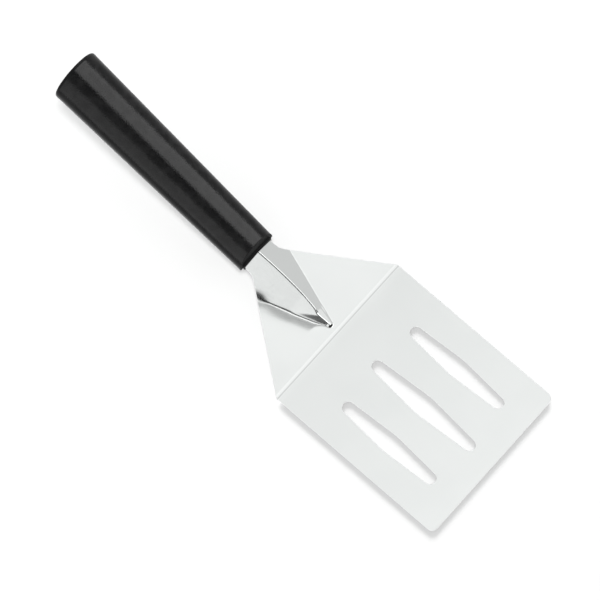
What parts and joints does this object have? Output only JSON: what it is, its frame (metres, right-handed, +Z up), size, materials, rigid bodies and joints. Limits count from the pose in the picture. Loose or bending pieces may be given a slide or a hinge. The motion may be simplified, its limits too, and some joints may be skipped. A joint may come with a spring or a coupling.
{
  "type": "grill spatula",
  "caption": "Slotted stainless turning blade with a bent shoulder and ribbed neck, its tang held in a round, tapered black resin handle.",
  "frame": {"origin": "under the middle of the spatula's box, on the surface that the head lies flat on", "axes": "+X towards the tip of the head, +Y to the left of a user who holds the handle, +Z up"},
  "size_m": [0.2428, 0.08, 0.0691],
  "materials": {
    "blade_steel": "fine brushed",
    "handle_resin": "fine-grained matte"
  },
  "bodies": {
    "root": {"blade": "blade_steel", "handle": "handle_resin"}
  },
  "joints": []
}
